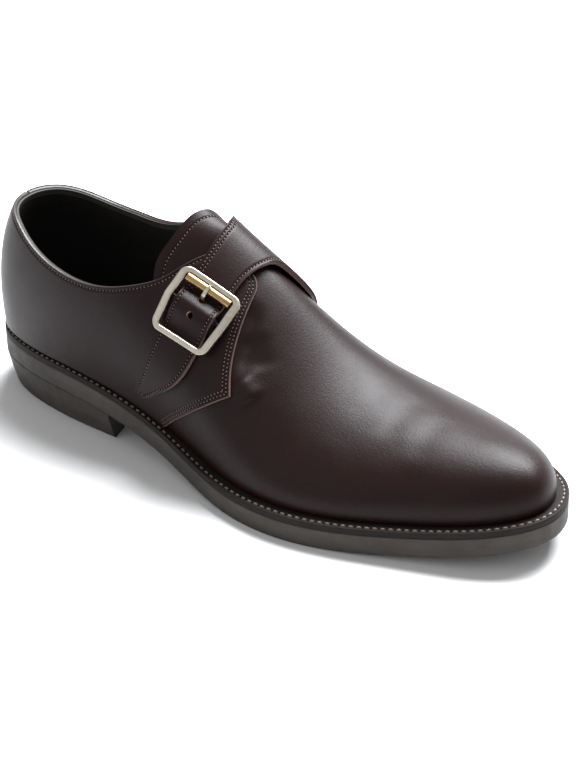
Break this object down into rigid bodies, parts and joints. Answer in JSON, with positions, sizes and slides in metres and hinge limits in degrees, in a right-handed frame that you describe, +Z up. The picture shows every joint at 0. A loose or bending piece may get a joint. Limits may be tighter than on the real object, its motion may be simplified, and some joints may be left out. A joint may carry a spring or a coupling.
{
  "type": "monk strap shoe",
  "caption": "Right leather dress shoe with a slender rounded toe, hollow upper, welted sole, stacked heel and a strap held by a metal buckle over the instep.",
  "frame": {"origin": "middle of the sole's outline at floor level", "axes": "+X from the heel to the toe, +Y to the inner side of the foot, +Z up"},
  "size_m": [0.2962, 0.1092, 0.1086],
  "materials": {
    "upper_leather": "polished, slightly creased",
    "sole_rubber": "matte, smooth edge",
    "welt_leather": "satin with a row of stitches",
    "lining_leather": "matte lining",
    "buckle_metal": "satin nickel"
  },
  "bodies": {
    "root": {"outsole": "sole_rubber", "heel": "sole_rubber", "welt": "welt_leather", "insole": "lining_leather", "upper": "upper_leather", "tongue": "upper_leather", "quarter_lateral": "upper_leather", "quarter_medial": "upper_leather", "strap": "upper_leather", "buckle_tab": "upper_leather", "buckle_prong": "buckle_metal", "buckle_frame": "buckle_metal"}
  },
  "joints": []
}
